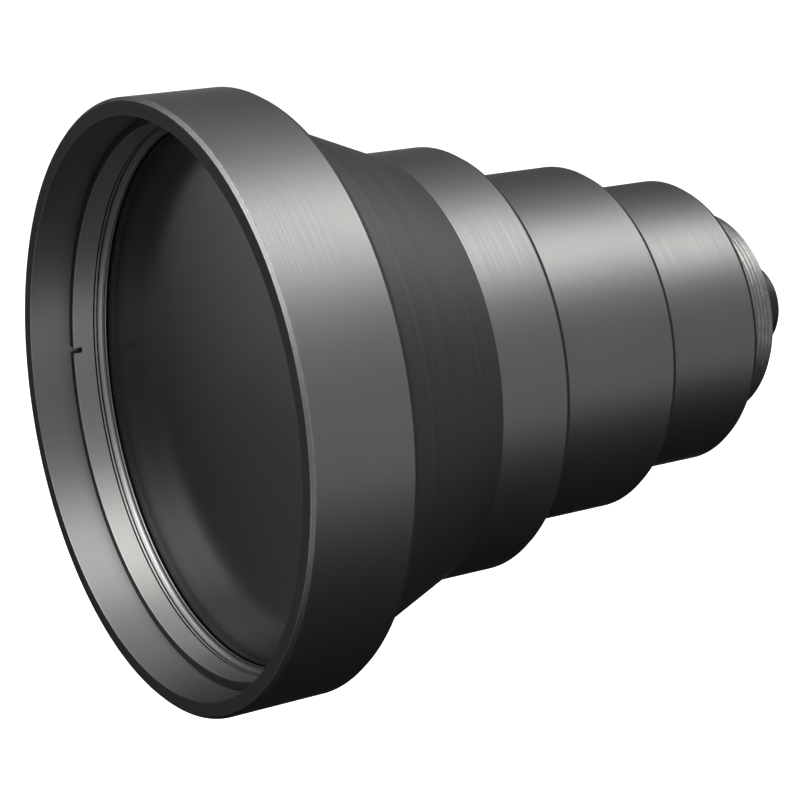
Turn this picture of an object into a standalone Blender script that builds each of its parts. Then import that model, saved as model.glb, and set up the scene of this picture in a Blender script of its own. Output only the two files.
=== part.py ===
"""Fixed-focus lens for a thermal camera, with its stepped barrels and the infrared optics inside.

Every piece is turned, so each is an outline of (radius, station) points swept about its local Z axis.
A station is the distance behind the front rim. The empty named optical_axis lays that axis along
world Y: the front glass faces -Y, the camera end faces +Y, and the origin is half way along the lens.
"""

import math

import bpy

# Clearance that is left between two pieces that meet.
GAP = 0.0003

# Front hood, from the inside outwards and from the rim backwards.
FRONT_LENS_RADIUS = 0.0555
HOOD_BORE_STEP = 0.0007
HOOD_WALL = 0.0035
HOOD_DEPTH = 0.0088
RIM_CHAMFER = 0.00065
FRONT_SEAT_WALL = 0.0018
FRONT_SEAT_LAND = 0.0029

# Ring, washer and lip that clamp the front lens.
RETAINER_LENGTH = 0.00475
RETAINER_WIDTH = 0.0020
SLOT_WIDTH = 0.0012
SLOT_DEPTH = 0.0019
SLOT_TURN = math.radians(-2.5)
SLOT_OVERRUN = 0.0050
WASHER_THICKNESS = 0.0004
LIP_RING_BORE_LENGTH = 0.0002
COVE_RADIUS = 0.0010
LIP_LAND = 0.00025

# Cone behind the hood, with stray-light steps inside.
CONE_INSET = 0.0047
CONE_LENGTH = 0.0290
CONE_STEPS = 5

# Camera thread, and the width of each threaded flange outside the barrel that it carries.
MOUNT_THREAD_RADIUS = 0.0225
MOUNT_FLANGE_WIDTH = 0.0039
REAR_FLANGE_WIDTH = 0.0018
MIDDLE_FLANGE_WIDTH = 0.0033
THREAD_WALL = 0.0038

# Visible length of each cylinder behind the cone, and the shallow bevel on its rear edge.
HOUSING_CYLINDER_LENGTH = 0.0159
MIDDLE_LENGTH = 0.0317
REAR_LENGTH = 0.0261
MOUNT_LENGTH = 0.0115
REAR_CELL_LENGTH = 0.0129
REAR_BEVEL_LENGTH = 0.0011
REAR_BEVEL_DEPTH = 0.0006

# Threaded joints between barrels, and the lens seats in front of them.
JOINT_DEPTH = 0.0060
FLANGE_RECESS = 0.0003
SEAT_WALL = 0.0015
SEAT_LAND = 0.0018
POCKET_STEP = 0.0013
RING_LENGTH = 0.0030
RING_WIDTH = 0.0030
RING_SLOT_DEPTH = 0.0015

# O-rings: the diameter of their cord.
FRONT_SEAL_CORD = 0.0012
BARREL_SEAL_CORD = 0.0015
MOUNT_SEAL_CORD = 0.0018
CELL_SEAL_CORD = 0.0010

# Lenses: edge thickness and the radius of curvature of each face.
FRONT_LENS_EDGE = 0.0032
FRONT_LENS_FRONT_CURVE = 0.240
FRONT_LENS_BACK_CURVE = 0.600
SECOND_LENS_EDGE = 0.0045
SECOND_LENS_FRONT_CURVE = 0.130
SECOND_LENS_BACK_CURVE = 0.150
THIRD_LENS_EDGE = 0.0040
THIRD_LENS_FRONT_CURVE = 0.105
THIRD_LENS_BACK_CURVE = 0.160
FOURTH_LENS_EDGE = 0.0035
FOURTH_LENS_FRONT_CURVE = 0.085
FOURTH_LENS_BACK_CURVE = 0.120
FIELD_LENS_RADIUS = 0.0074
FIELD_LENS_EDGE = 0.0025
FIELD_LENS_FRONT_CURVE = 0.060
FIELD_LENS_BACK_CURVE = 0.030

# Aperture stop and the sleeves that hold lenses at their distance.
STOP_RADIUS = 0.0240
STOP_THICKNESS = 0.0005
STOP_SPACER_LENGTH = 0.0050
ATHERMAL_SPACER_LENGTH = 0.0060

# Mount ring and rear cell.
MOUNT_CHAMFER = 0.0008
UNDERCUT_LENGTH = 0.0020
UNDERCUT_DEPTH = 0.0007
MOUNT_TUBE_WALL = 0.0028
MOUNT_REAR_WALL = 0.0043
CELL_WALL = 0.0015
CELL_HUB_STEP = 0.0018
CELL_FLANGE_WIDTH = 0.0030
CELL_FLANGE_THICKNESS = 0.0022
CELL_CHAMFER = 0.0004
CELL_RECESS = 0.0008
CELL_RING_LENGTH = 0.0020
CELL_RING_WIDTH = 0.0014
CELL_SLOT_DEPTH = 0.0010
CELL_SEAT_LAND = 0.0013

# Radii of the front hood and what sits in it.
front_pocket = FRONT_LENS_RADIUS + GAP
hood_bore = front_pocket + HOOD_BORE_STEP
hood_radius = hood_bore + HOOD_WALL
retainer_bore = hood_bore - RETAINER_WIDTH
lip_radius = retainer_bore - COVE_RADIUS
front_seat_bore = FRONT_LENS_RADIUS - FRONT_SEAT_LAND
cone_radius = hood_radius - CONE_INSET

# Radii of the barrels, from the camera thread outwards and forwards.
mount_flange = MOUNT_THREAD_RADIUS + MOUNT_FLANGE_WIDTH
rear_bore = mount_flange + GAP
rear_radius = rear_bore + THREAD_WALL
rear_flange = rear_radius + REAR_FLANGE_WIDTH
middle_bore = rear_flange + GAP
middle_radius = middle_bore + THREAD_WALL
middle_flange = middle_radius + MIDDLE_FLANGE_WIDTH
housing_bore = middle_flange + GAP
housing_radius = housing_bore + THREAD_WALL

# Radii in the rear cell.
cell_pocket = FIELD_LENS_RADIUS + GAP
cell_radius = cell_pocket + CELL_WALL
cell_hub = cell_radius + CELL_HUB_STEP
mount_hub_bore = cell_hub + GAP
cell_flange = cell_hub + CELL_FLANGE_WIDTH


def sag(curve, radius):
    """Depth of a spherical face with this radius of curvature, at a distance from the axis."""
    return curve - math.sqrt(curve * curve - radius * radius)


# Stations of the front group.
retainer_end = HOOD_DEPTH + RETAINER_LENGTH
washer_start = retainer_end + GAP
washer_end = washer_start + WASHER_THICKNESS
lip_ring_start = washer_end + GAP
lip_ring_end = lip_ring_start + LIP_RING_BORE_LENGTH + COVE_RADIUS + LIP_LAND
front_edge_drop = sag(FRONT_LENS_FRONT_CURVE, FRONT_LENS_RADIUS) - sag(FRONT_LENS_FRONT_CURVE, lip_radius)
front_lens_edge = lip_ring_end + GAP + front_edge_drop
front_lens_back = front_lens_edge + FRONT_LENS_EDGE
front_seat = front_lens_back + GAP
hood_end = front_seat + FRONT_SEAT_WALL

# Stations where each visible cylinder ends.
cone_end = hood_end + CONE_LENGTH
housing_end = cone_end + HOUSING_CYLINDER_LENGTH
middle_end = housing_end + MIDDLE_LENGTH
rear_end = middle_end + REAR_LENGTH
mount_end = rear_end + MOUNT_LENGTH
lens_end = mount_end + REAR_CELL_LENGTH

# Facets round each turn.
LARGE_FACETS = 48
BARREL_FACETS = 40
INNER_FACETS = 24
SEAL_FACETS = 32
CORD_FACETS = 6
FRONT_DOME_RINGS = 5
INNER_DOME_RINGS = 3
COVE_RINGS = 4

SMOOTH_BELOW = math.radians(18)
MERGE_DISTANCE = 0.00001


def clear_scene():
    for old in list(bpy.data.objects):
        bpy.data.objects.remove(old, do_unlink=True)


def new_collection(name):
    collection = bpy.data.collections.new(name)
    bpy.context.scene.collection.children.link(collection)
    return collection


def new_material(name, colour, roughness, metallic):
    material = bpy.data.materials.new(name)
    material.use_nodes = True
    shader = material.node_tree.nodes["Principled BSDF"]
    shader.inputs["Base Color"].default_value = (*colour, 1)
    shader.inputs["Roughness"].default_value = roughness
    shader.inputs["Metallic"].default_value = metallic
    return material


def put_on_axis(obj, name, collection, material):
    """Names an object, moves it into a collection and hangs it on the optical axis."""
    obj.name = name
    obj.data.name = name
    for old in list(obj.users_collection):
        old.objects.unlink(obj)
    collection.objects.link(obj)
    obj.parent = optical_axis
    obj.data.materials.append(material)
    return obj


def turned(name, outline, facets, material, closed=True):
    """Sweeps an outline about the axis. It runs forwards along the outside and back along the bore."""
    mesh = bpy.data.meshes.new(name)
    ends = [(i, i + 1) for i in range(len(outline) - 1)]
    if closed:
        ends.append((len(outline) - 1, 0))
    mesh.from_pydata([(radius, 0, station) for radius, station in outline], ends, [])
    obj = bpy.data.objects.new(name, mesh)
    put_on_axis(obj, name, parts, material)
    screw = obj.modifiers.new("Turn", "SCREW")
    screw.axis = "Z"
    screw.angle = math.tau
    screw.steps = facets
    screw.render_steps = facets
    screw.use_merge_vertices = True
    screw.merge_threshold = MERGE_DISTANCE
    return obj


def tube(name, outer, inner, start, end, facets, material):
    """A plain turned ring between two stations."""
    outline = [(outer, end), (outer, start), (inner, start), (inner, end)]
    return turned(name, outline, facets, material)


def seal(name, centre_radius, station, cord, facets=SEAL_FACETS):
    """An O-ring: a torus round the axis."""
    bpy.ops.mesh.primitive_torus_add(
        major_radius=centre_radius,
        minor_radius=cord / 2,
        major_segments=facets,
        minor_segments=CORD_FACETS,
        location=(0, 0, station),
    )
    return put_on_axis(bpy.context.object, name, parts, rubber)


def cut_spanner_slots(ring, face, depth, outer):
    """Cuts one slot straight across a ring's face, which leaves a notch on either side of its bore.

    The cutter is centred on the face, so that half its height stands clear of the ring.
    """
    bpy.ops.mesh.primitive_cube_add(size=1, location=(0, 0, face))
    cutter = put_on_axis(bpy.context.object, ring.name + "_slot_cutter", cutters, cutter_grey)
    length = 2 * (outer + SLOT_OVERRUN)
    height = 2 * depth
    cutter.scale = (length, SLOT_WIDTH, height)
    cutter.rotation_euler.z = SLOT_TURN
    cutter.hide_render = True
    cutter.display_type = "WIRE"
    cut = ring.modifiers.new("Spanner slots", "BOOLEAN")
    cut.operation = "DIFFERENCE"
    cut.object = cutter


def dome(edge_radius, edge_station, curve, side, rings):
    """Points of a spherical face from its edge to the axis. It bulges forwards for side -1."""
    points = []
    for ring in range(rings + 1):
        radius = edge_radius * (1 - ring / rings)
        height = sag(curve, edge_radius) - sag(curve, radius)
        points.append((radius, edge_station + side * height))
    return points


def meniscus(name, radius, edge, land, bulging_curve, hollow_curve, edge_station, facets, rings, side=-1):
    """A lens that bulges towards side, with a flat ground land round its hollow face.

    edge_station is where the bulging face meets the edge.
    """
    land_station = edge_station - side * edge
    bulge = dome(radius, edge_station, bulging_curve, side, rings)
    hollow = dome(radius - land, land_station, hollow_curve, side, INNER_DOME_RINGS)
    outline = hollow[::-1] + [(radius, land_station)] + bulge
    if side > 0:
        outline = outline[::-1]
    return turned(name, outline, facets, infrared_glass, closed=False)


def flange_with_groove(radius, start, end, cord):
    """Outside of a threaded flange from rear to front, with an O-ring groove half way along it."""
    middle = (start + end) / 2
    half = cord / 2 + GAP
    bottom = radius - cord - GAP
    return [
        (radius, end),
        (radius, middle + half),
        (bottom, middle + half),
        (bottom, middle - half),
        (radius, middle - half),
        (radius, start),
    ]


def ring_station(edge_station, curve, lens_radius, ring_bore):
    """Rear face of a retaining ring whose bore just clears the bulging face of the lens behind it."""
    return edge_station - (sag(curve, lens_radius) - sag(curve, ring_bore)) - GAP


class Stage:
    """The pocket in one barrel: where its lens, retaining ring and seat lie, worked back from its end."""

    def __init__(self, thread_bore, end, lens_edge, front_curve, behind=0.0, ahead=0.0):
        self.thread_bore = thread_bore
        self.pocket = thread_bore - POCKET_STEP
        self.lens_radius = self.pocket - GAP
        self.seat_bore = self.lens_radius - SEAT_LAND
        self.ring_bore = thread_bore - GAP - RING_WIDTH
        self.joint_floor = end - JOINT_DEPTH - GAP
        self.seat = self.joint_floor - SEAT_WALL
        self.lens_back = self.seat - GAP - behind
        self.lens_edge = self.lens_back - lens_edge
        self.contact = ring_station(self.lens_edge, front_curve, self.lens_radius, self.ring_bore)
        self.ring_end = self.contact - ahead
        self.ring_start = self.ring_end - RING_LENGTH
        self.pocket_start = self.ring_end + GAP

    def bore_outline(self, start, end):
        """The bore from front to rear: ring thread, lens pocket, seat and the next barrel's thread."""
        return [
            (self.thread_bore, start),
            (self.thread_bore, self.pocket_start),
            (self.pocket, self.pocket_start),
            (self.pocket, self.seat),
            (self.seat_bore, self.seat),
            (self.seat_bore, self.joint_floor),
            (self.thread_bore, self.joint_floor),
            (self.thread_bore, end),
        ]

    def add_ring(self, name):
        outer = self.thread_bore - GAP
        ring = tube(name, outer, self.ring_bore, self.ring_start, self.ring_end, INNER_FACETS, satin_black)
        cut_spanner_slots(ring, self.ring_start, RING_SLOT_DEPTH, outer)

    def add_lens(self, name, edge, front_curve, back_curve):
        meniscus(
            name,
            self.lens_radius,
            edge,
            SEAT_LAND + GAP,
            front_curve,
            back_curve,
            self.lens_edge,
            INNER_FACETS,
            INNER_DOME_RINGS,
        )


def cone_bore(start_radius, start, end_radius, end):
    """Stray-light steps down the inside of the cone, from front to rear."""
    points = []
    for step in range(CONE_STEPS):
        share = (step + 1) / CONE_STEPS
        radius = start_radius + (end_radius - start_radius) * share
        points.append((radius, start + (end - start) * step / CONE_STEPS))
        points.append((radius, start + (end - start) * share))
    return points[:-1]


def build_front_group():
    """Lens, seal and the three rings that clamp it, in the hood."""
    meniscus(
        "front_lens",
        FRONT_LENS_RADIUS,
        FRONT_LENS_EDGE,
        FRONT_SEAT_LAND + GAP,
        FRONT_LENS_FRONT_CURVE,
        FRONT_LENS_BACK_CURVE,
        front_lens_edge,
        LARGE_FACETS,
        FRONT_DOME_RINGS,
    )
    edge_middle = front_lens_edge + FRONT_LENS_EDGE / 2
    seal("front_lens_seal", front_pocket + FRONT_SEAL_CORD / 2, edge_middle, FRONT_SEAL_CORD, LARGE_FACETS)
    retainer = tube(
        "front_retaining_ring",
        hood_bore - GAP,
        retainer_bore,
        HOOD_DEPTH,
        retainer_end,
        LARGE_FACETS,
        anodised,
    )
    cut_spanner_slots(retainer, HOOD_DEPTH, SLOT_DEPTH, hood_bore)
    tube(
        "front_slip_washer",
        hood_bore - GAP,
        retainer_bore,
        washer_start,
        washer_end,
        LARGE_FACETS,
        anodised,
    )
    cove_centre = lip_ring_start + LIP_RING_BORE_LENGTH
    lip_outline = [(hood_bore - GAP, lip_ring_end), (hood_bore - GAP, lip_ring_start)]
    lip_outline.append((retainer_bore, lip_ring_start))
    for step in range(COVE_RINGS + 1):
        angle = math.pi / 2 * step / COVE_RINGS
        radius = lip_radius + COVE_RADIUS * math.cos(angle)
        lip_outline.append((radius, cove_centre + COVE_RADIUS * math.sin(angle)))
    lip_outline.append((lip_radius, lip_ring_end))
    turned("front_pressure_ring", lip_outline, LARGE_FACETS, anodised)


def build_main_housing():
    """Hood, front lens seat, cone and first cylinder in one piece, with the second lens in its rear."""
    stage = Stage(housing_bore, housing_end, SECOND_LENS_EDGE, SECOND_LENS_FRONT_CURVE)
    edge_middle = front_lens_edge + FRONT_LENS_EDGE / 2
    groove_half = FRONT_SEAL_CORD / 2 + GAP
    groove_floor = front_pocket + FRONT_SEAL_CORD + GAP
    pocket_start = lip_ring_end + GAP
    cone_bore_end = stage.ring_start - GAP
    outside = [
        (housing_radius - REAR_BEVEL_DEPTH, housing_end),
        (housing_radius, housing_end - REAR_BEVEL_LENGTH),
        (housing_radius, cone_end),
        (cone_radius, hood_end),
        (hood_radius - REAR_BEVEL_DEPTH, hood_end),
        (hood_radius, hood_end - REAR_BEVEL_LENGTH),
        (hood_radius, RIM_CHAMFER),
        (hood_radius - RIM_CHAMFER, 0),
    ]
    hood_inside = [
        (hood_bore, 0),
        (hood_bore, pocket_start),
        (front_pocket, pocket_start),
        (front_pocket, edge_middle - groove_half),
        (groove_floor, edge_middle - groove_half),
        (groove_floor, edge_middle + groove_half),
        (front_pocket, edge_middle + groove_half),
        (front_pocket, front_seat),
        (front_seat_bore, front_seat),
    ]
    cone_inside = cone_bore(front_seat_bore, hood_end, housing_bore, cone_bore_end)
    rear_inside = stage.bore_outline(cone_bore_end, housing_end)[1:]
    outline = outside + hood_inside + [(front_seat_bore, hood_end)] + cone_inside + rear_inside
    turned("main_housing", outline, LARGE_FACETS, anodised)
    stage.add_ring("second_retaining_ring")
    stage.add_lens("second_lens", SECOND_LENS_EDGE, SECOND_LENS_FRONT_CURVE, SECOND_LENS_BACK_CURVE)


def build_middle_barrel():
    """Second cylinder, with the aperture stop and the third lens in it."""
    start = housing_end - JOINT_DEPTH
    ahead = STOP_SPACER_LENGTH + GAP + STOP_THICKNESS + GAP
    stage = Stage(middle_bore, middle_end, THIRD_LENS_EDGE, THIRD_LENS_FRONT_CURVE, ahead=ahead)
    flange_end = housing_end - FLANGE_RECESS
    outline = [
        (middle_radius - REAR_BEVEL_DEPTH, middle_end),
        (middle_radius, middle_end - REAR_BEVEL_LENGTH),
        (middle_radius, flange_end),
    ]
    outline += flange_with_groove(middle_flange, start, flange_end, BARREL_SEAL_CORD)
    outline += stage.bore_outline(start, middle_end)
    turned("middle_barrel", outline, BARREL_FACETS, anodised)
    seal_middle = (start + flange_end) / 2
    seal("middle_barrel_seal", middle_flange - BARREL_SEAL_CORD / 2, seal_middle, BARREL_SEAL_CORD)
    stage.add_ring("third_retaining_ring")
    stage.add_lens("third_lens", THIRD_LENS_EDGE, THIRD_LENS_FRONT_CURVE, THIRD_LENS_BACK_CURVE)
    stop_start = stage.ring_end + GAP
    stop_end = stop_start + STOP_THICKNESS
    tube("aperture_stop", stage.lens_radius, STOP_RADIUS, stop_start, stop_end, INNER_FACETS, satin_black)
    spacer_start = stop_end + GAP
    spacer_end = spacer_start + STOP_SPACER_LENGTH
    tube(
        "stop_spacer", stage.lens_radius, stage.ring_bore, spacer_start, spacer_end, INNER_FACETS, satin_black
    )


def build_rear_barrel():
    """Third cylinder, with the fourth lens on a plastic sleeve that holds focus as the barrel warms."""
    start = middle_end - JOINT_DEPTH
    behind = ATHERMAL_SPACER_LENGTH + GAP
    stage = Stage(rear_bore, rear_end, FOURTH_LENS_EDGE, FOURTH_LENS_FRONT_CURVE, behind=behind)
    flange_end = middle_end - FLANGE_RECESS
    outline = [
        (rear_radius - REAR_BEVEL_DEPTH, rear_end),
        (rear_radius, rear_end - REAR_BEVEL_LENGTH),
        (rear_radius, flange_end),
    ]
    outline += flange_with_groove(rear_flange, start, flange_end, BARREL_SEAL_CORD)
    outline += stage.bore_outline(start, rear_end)
    turned("rear_barrel", outline, BARREL_FACETS, anodised)
    seal_middle = (start + flange_end) / 2
    seal("rear_barrel_seal", rear_flange - BARREL_SEAL_CORD / 2, seal_middle, BARREL_SEAL_CORD)
    stage.add_ring("fourth_retaining_ring")
    stage.add_lens("fourth_lens", FOURTH_LENS_EDGE, FOURTH_LENS_FRONT_CURVE, FOURTH_LENS_BACK_CURVE)
    spacer_end = stage.seat - GAP
    spacer_start = spacer_end - ATHERMAL_SPACER_LENGTH
    tube(
        "athermal_spacer", stage.lens_radius, stage.seat_bore, spacer_start, spacer_end, INNER_FACETS, acetal
    )


def build_mount_ring():
    """Flange in the rear barrel and the camera thread behind it, with an undercut at the thread's root."""
    start = rear_end - JOINT_DEPTH
    flange_end = rear_end - FLANGE_RECESS
    tube_bore = MOUNT_THREAD_RADIUS - UNDERCUT_DEPTH - MOUNT_TUBE_WALL
    wall_start = mount_end - MOUNT_REAR_WALL
    outline = [
        (MOUNT_THREAD_RADIUS - MOUNT_CHAMFER, mount_end),
        (MOUNT_THREAD_RADIUS, mount_end - MOUNT_CHAMFER),
        (MOUNT_THREAD_RADIUS, flange_end + UNDERCUT_LENGTH),
        (MOUNT_THREAD_RADIUS - UNDERCUT_DEPTH, flange_end + UNDERCUT_LENGTH),
        (MOUNT_THREAD_RADIUS - UNDERCUT_DEPTH, flange_end),
    ]
    outline += flange_with_groove(mount_flange, start, flange_end, BARREL_SEAL_CORD)
    outline += [
        (tube_bore, start),
        (tube_bore, wall_start),
        (mount_hub_bore, wall_start),
        (mount_hub_bore, mount_end),
    ]
    turned("mount_ring", outline, BARREL_FACETS, anodised)
    seal_middle = (start + flange_end) / 2
    seal("mount_ring_seal", mount_flange - BARREL_SEAL_CORD / 2, seal_middle, BARREL_SEAL_CORD)
    face_seal_radius = MOUNT_THREAD_RADIUS - UNDERCUT_DEPTH + GAP + MOUNT_SEAL_CORD / 2
    face_seal_station = flange_end + GAP + MOUNT_SEAL_CORD / 2
    seal("mount_face_seal", face_seal_radius, face_seal_station, MOUNT_SEAL_CORD)


def build_rear_cell():
    """Black tube at the rear, held from inside the mount ring, with the field lens in its end."""
    hub_start = mount_end - MOUNT_REAR_WALL - GAP
    hub_end = mount_end - FLANGE_RECESS
    start = hub_start - CELL_FLANGE_THICKNESS
    ring_bore = FIELD_LENS_RADIUS - CELL_RING_WIDTH
    ring_end = lens_end - CELL_RECESS
    ring_start = ring_end - CELL_RING_LENGTH
    back_drop = sag(FIELD_LENS_BACK_CURVE, FIELD_LENS_RADIUS) - sag(FIELD_LENS_BACK_CURVE, ring_bore)
    back_edge = ring_start - GAP - back_drop
    seat = back_edge - FIELD_LENS_EDGE - GAP
    seat_bore = FIELD_LENS_RADIUS - CELL_SEAT_LAND
    outline = [
        (cell_radius - CELL_CHAMFER, lens_end),
        (cell_radius, lens_end - CELL_CHAMFER),
        (cell_radius, hub_end),
    ]
    outline += flange_with_groove(cell_hub, hub_start, hub_end, CELL_SEAL_CORD)
    outline += [
        (cell_flange, hub_start),
        (cell_flange, start),
        (cell_pocket, start),
        (cell_pocket, seat - SEAT_WALL),
        (seat_bore, seat - SEAT_WALL),
        (seat_bore, seat),
        (cell_pocket, seat),
        (cell_pocket, lens_end),
    ]
    turned("rear_cell", outline, INNER_FACETS, satin_black)
    seal_middle = (hub_start + hub_end) / 2
    seal("rear_cell_seal", cell_hub - CELL_SEAL_CORD / 2, seal_middle, CELL_SEAL_CORD)
    meniscus(
        "field_lens",
        FIELD_LENS_RADIUS,
        FIELD_LENS_EDGE,
        CELL_SEAT_LAND + GAP,
        FIELD_LENS_BACK_CURVE,
        FIELD_LENS_FRONT_CURVE,
        back_edge,
        INNER_FACETS,
        INNER_DOME_RINGS,
        side=1,
    )
    ring = tube(
        "field_retaining_ring",
        FIELD_LENS_RADIUS,
        ring_bore,
        ring_start,
        ring_end,
        INNER_FACETS,
        satin_black,
    )
    cut_spanner_slots(ring, ring_end, CELL_SLOT_DEPTH, FIELD_LENS_RADIUS)


def settle_meshes():
    """Replaces each piece's modifiers by their result, and shades it smooth except at its sharp edges."""
    bpy.context.view_layer.update()
    graph = bpy.context.evaluated_depsgraph_get()
    for obj in [piece for piece in parts.objects if piece.type == "MESH"]:
        mesh = bpy.data.meshes.new_from_object(obj.evaluated_get(graph))
        obj.modifiers.clear()
        obj.data = mesh
        mesh.name = obj.name
        mesh.shade_smooth()
        mesh.set_sharp_from_angle(angle=SMOOTH_BELOW)


clear_scene()
parts = new_collection("thermal_imaging_lens")
cutters = new_collection("cutters")
anodised = new_material("dark_anodised_aluminium", (0.12, 0.12, 0.12), roughness=0.46, metallic=1.0)
satin_black = new_material("black_anodised_aluminium", (0.025, 0.025, 0.025), roughness=0.5, metallic=1.0)
infrared_glass = new_material("coated_germanium", (0.3, 0.31, 0.3), roughness=0.18, metallic=1.0)
rubber = new_material("black_rubber", (0.015, 0.015, 0.015), roughness=0.7, metallic=0.0)
acetal = new_material("white_acetal", (0.75, 0.74, 0.70), roughness=0.5, metallic=0.0)
cutter_grey = new_material("cutter_grey", (0.5, 0.5, 0.5), roughness=0.5, metallic=0.0)

optical_axis = bpy.data.objects.new("optical_axis", None)
optical_axis.location = (0, -lens_end / 2, 0)
optical_axis.rotation_euler = (-math.pi / 2, 0, 0)
parts.objects.link(optical_axis)

build_front_group()
build_main_housing()
build_middle_barrel()
build_rear_barrel()
build_mount_ring()
build_rear_cell()
settle_meshes()
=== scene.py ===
import math

import bmesh
import bpy
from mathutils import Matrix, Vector


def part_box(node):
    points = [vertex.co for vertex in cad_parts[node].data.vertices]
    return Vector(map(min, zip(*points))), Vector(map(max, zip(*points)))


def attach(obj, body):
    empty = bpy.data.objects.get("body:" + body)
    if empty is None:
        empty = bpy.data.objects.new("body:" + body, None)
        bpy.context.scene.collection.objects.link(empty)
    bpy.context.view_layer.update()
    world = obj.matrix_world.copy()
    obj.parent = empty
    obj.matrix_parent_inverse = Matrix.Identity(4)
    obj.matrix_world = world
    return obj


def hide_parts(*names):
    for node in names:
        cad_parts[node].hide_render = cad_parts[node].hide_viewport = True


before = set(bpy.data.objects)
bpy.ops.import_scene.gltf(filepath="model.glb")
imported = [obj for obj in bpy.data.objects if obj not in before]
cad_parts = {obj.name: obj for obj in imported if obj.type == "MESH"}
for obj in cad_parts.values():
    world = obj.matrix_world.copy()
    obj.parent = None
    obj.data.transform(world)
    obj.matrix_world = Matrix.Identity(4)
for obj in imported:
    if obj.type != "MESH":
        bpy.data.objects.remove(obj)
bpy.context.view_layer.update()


# Main housing: hood, front lens seat, cone and first cylinder, turned in one piece from aluminium
# bar. It is bead blasted outside and anodised dark grey, and the hood's bore keeps the rings of the
# boring tool. The rest of the lens screws into its rear end or is clamped in its front one.
MM = 0.001
CLEARANCE = 0.3 * MM
THREADED_WALL = 3.8 * MM
RIM_CHAMFER = 0.65 * MM
REAR_EDGE_LENGTH = 1.1 * MM
REAR_EDGE_DEPTH = 0.6 * MM
SEAL_GROOVE_WIDTH = 1.8 * MM
SEAL_GROOVE_DEPTH = 1.5 * MM
LENS_SEAT_WALL = 1.8 * MM
LENS_SEAT_LAND = 2.9 * MM
CONE_INSET = 4.7 * MM
CONE_LENGTH = 29.0 * MM
STRAY_LIGHT_STEPS = 5
EDGE_BREAK = 0.12 * MM
ROUNDING_STEPS = 6
WEAR_REACH = 0.25 * MM
TURNED_FACETS = 360
SHARP_ANGLE = math.radians(18)
FORWARD_TILT = 0.6

rim_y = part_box("main_housing")[0].y


def reach(node):
    """Outer radius of a round CAD node, and how far behind the rim it starts and ends."""
    low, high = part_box(node)
    return high.x, low.y - rim_y, high.y - rim_y


def broken_edges(outline):
    """Rounds each corner that has a third value, which is what the rounding takes off each side.

    Returns (radius, station, edge) points. edge is 1 on a rounding and 0 a little way from it.
    """
    most_of_side = 0.45
    long_side = 3 * WEAR_REACH
    points = []
    for i, corner in enumerate(outline):
        here = Vector(corner[:2])
        if len(corner) == 2:
            points.append((*here, 0.0))
            continue
        before = Vector(outline[i - 1][:2]) - here
        after = Vector(outline[(i + 1) % len(outline)][:2]) - here
        taken = min(corner[2], most_of_side * before.length, most_of_side * after.length)
        start = here + before.normalized() * taken
        end = here + after.normalized() * taken
        if before.length > long_side:
            points.append((*(here + before.normalized() * (taken + WEAR_REACH)), 0.0))
        for step in range(ROUNDING_STEPS + 1):
            t = step / ROUNDING_STEPS
            points.append((*(start * (1 - t) ** 2 + here * 2 * t * (1 - t) + end * t**2), 1.0))
        if after.length > long_side:
            points.append((*(here + after.normalized() * (taken + WEAR_REACH)), 0.0))
    return points


def turned(name, outline, facets=TURNED_FACETS, closed=True):
    """Turns an outline of (radius, station) corners about the lens axis, as a lathe does."""
    on_axis = 1e-7
    shape = bmesh.new()
    nearness = shape.verts.layers.float.new("edge_nearness")
    rings = []
    for radius, station, edge in broken_edges(outline):
        count = facets if radius > on_axis else 1
        ring = []
        for k in range(count):
            angle = math.tau * k / facets
            x, z = radius * math.cos(angle), radius * math.sin(angle)
            vert = shape.verts.new((x, rim_y + station, z))
            vert[nearness] = edge
            ring.append(vert)
        rings.append(ring * (facets // count))
    pairs = zip(rings, rings[1:] + rings[:1]) if closed else zip(rings, rings[1:])
    for near, far in pairs:
        for k in range(facets):
            n = (k + 1) % facets
            corners = [near[k], near[n], far[n], far[k]]
            shape.faces.new(list(dict.fromkeys(corners)))
    bmesh.ops.recalc_face_normals(shape, faces=shape.faces)
    mesh = bpy.data.meshes.new(name)
    shape.to_mesh(mesh)
    shape.free()
    mesh.shade_smooth()
    mesh.set_sharp_from_angle(angle=SHARP_ANGLE)
    piece = bpy.data.objects.new(name, mesh)
    bpy.context.scene.collection.objects.link(piece)
    return piece


def fit(piece, node, material, lit_and_shaded_copies=(), front_end=0.0):
    """Puts a finished piece in the place of its CAD node.

    Two more materials may follow, reaching from the front as far as front_end: a copy painted
    lighter, as painted light, for the bore's walls, and one painted darker, as painted shade, for
    the flat faces that look forwards.
    """
    painted_lighter_bore, painted_darker_face = 1, 2
    piece.data.materials.clear()
    for finish in (material, *lit_and_shaded_copies):
        piece.data.materials.append(finish)
    if lit_and_shaded_copies:
        for face in piece.data.polygons:
            if face.center.y - rim_y > front_end:
                continue
            if face.normal.y < -FORWARD_TILT:
                face.material_index = painted_darker_face
            elif face.normal.x * face.center.x + face.normal.z * face.center.z < 0:
                face.material_index = painted_lighter_bore
    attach(piece, "root")
    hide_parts(node)


def new_group(name, inputs, outputs):
    """A node group with float inputs given as {name: default} and float outputs."""
    group = bpy.data.node_groups.new(name, "ShaderNodeTree")
    for socket, value in inputs.items():
        made = group.interface.new_socket(socket, in_out="INPUT", socket_type="NodeSocketFloat")
        made.default_value = value
    for socket in outputs:
        group.interface.new_socket(socket, in_out="OUTPUT", socket_type="NodeSocketFloat")
    return group, group.nodes.new("NodeGroupInput"), group.nodes.new("NodeGroupOutput")


def new_material(name):
    """A material, its node tree and its shader."""
    material = bpy.data.materials.new(name)
    material.use_nodes = True
    return material, material.node_tree, material.node_tree.nodes["Principled BSDF"]


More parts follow.
